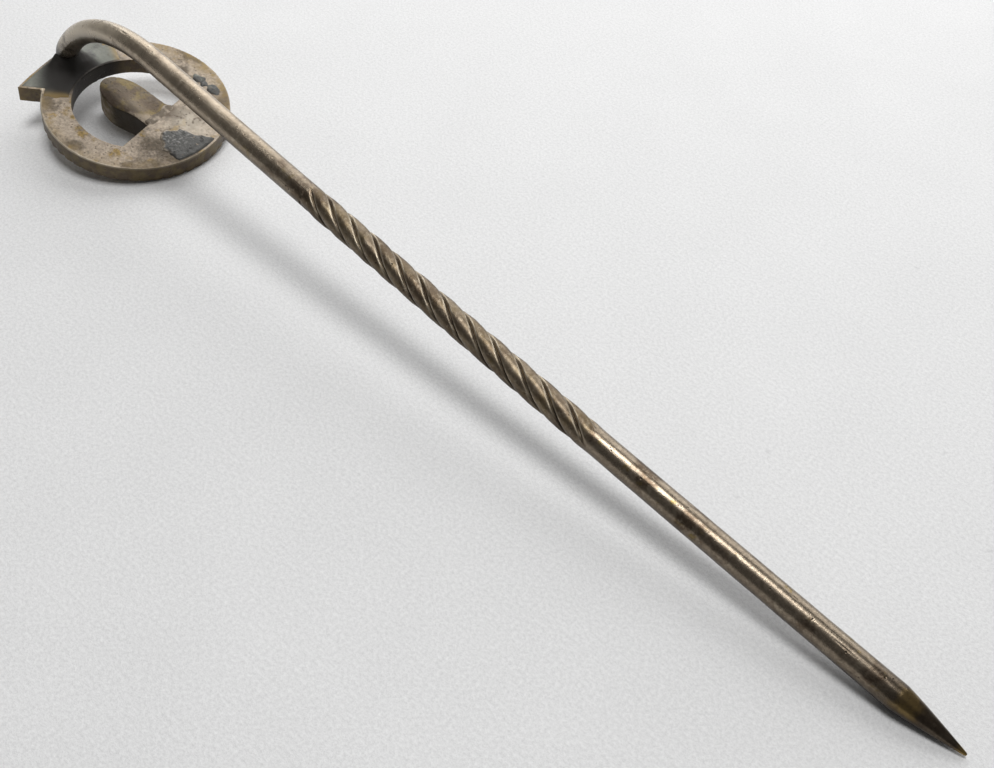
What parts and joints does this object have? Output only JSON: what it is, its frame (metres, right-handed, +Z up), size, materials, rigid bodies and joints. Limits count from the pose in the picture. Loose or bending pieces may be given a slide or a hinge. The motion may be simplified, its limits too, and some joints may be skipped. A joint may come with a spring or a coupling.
{
  "type": "stick pin",
  "caption": "Tie stick pin: a hooked and part-twisted wire with a sharp point, soldered to the back of a flat ring head with a central leaf and a flared lug.",
  "frame": {"origin": "on the table under the middle of the pin's box, with the pin lying face down as it comes to rest", "axes": "+X along the pin from the head to the point, +Z up, away from the table"},
  "size_m": [0.0586, 0.0102, 0.0077],
  "materials": {
    "pin_wire": "tarnished silver, satin, worn bright along the top",
    "ring_plate": "tarnished cast silver, pinkish brown, pitted",
    "leaf": "tarnished cast silver, olive brown",
    "foot_solder": "dull grey soft solder",
    "leaf_solder": "dull tarnished solder",
    "solder_patch": "crusted dark solder",
    "solder_spots": "dull grey solder"
  },
  "bodies": {
    "root": {"pin_wire": "pin_wire", "ring_plate": "ring_plate", "leaf": "leaf", "foot_solder": "foot_solder", "leaf_solder": "leaf_solder", "solder_patch": "solder_patch", "solder_spots": "solder_spots"}
  },
  "joints": []
}
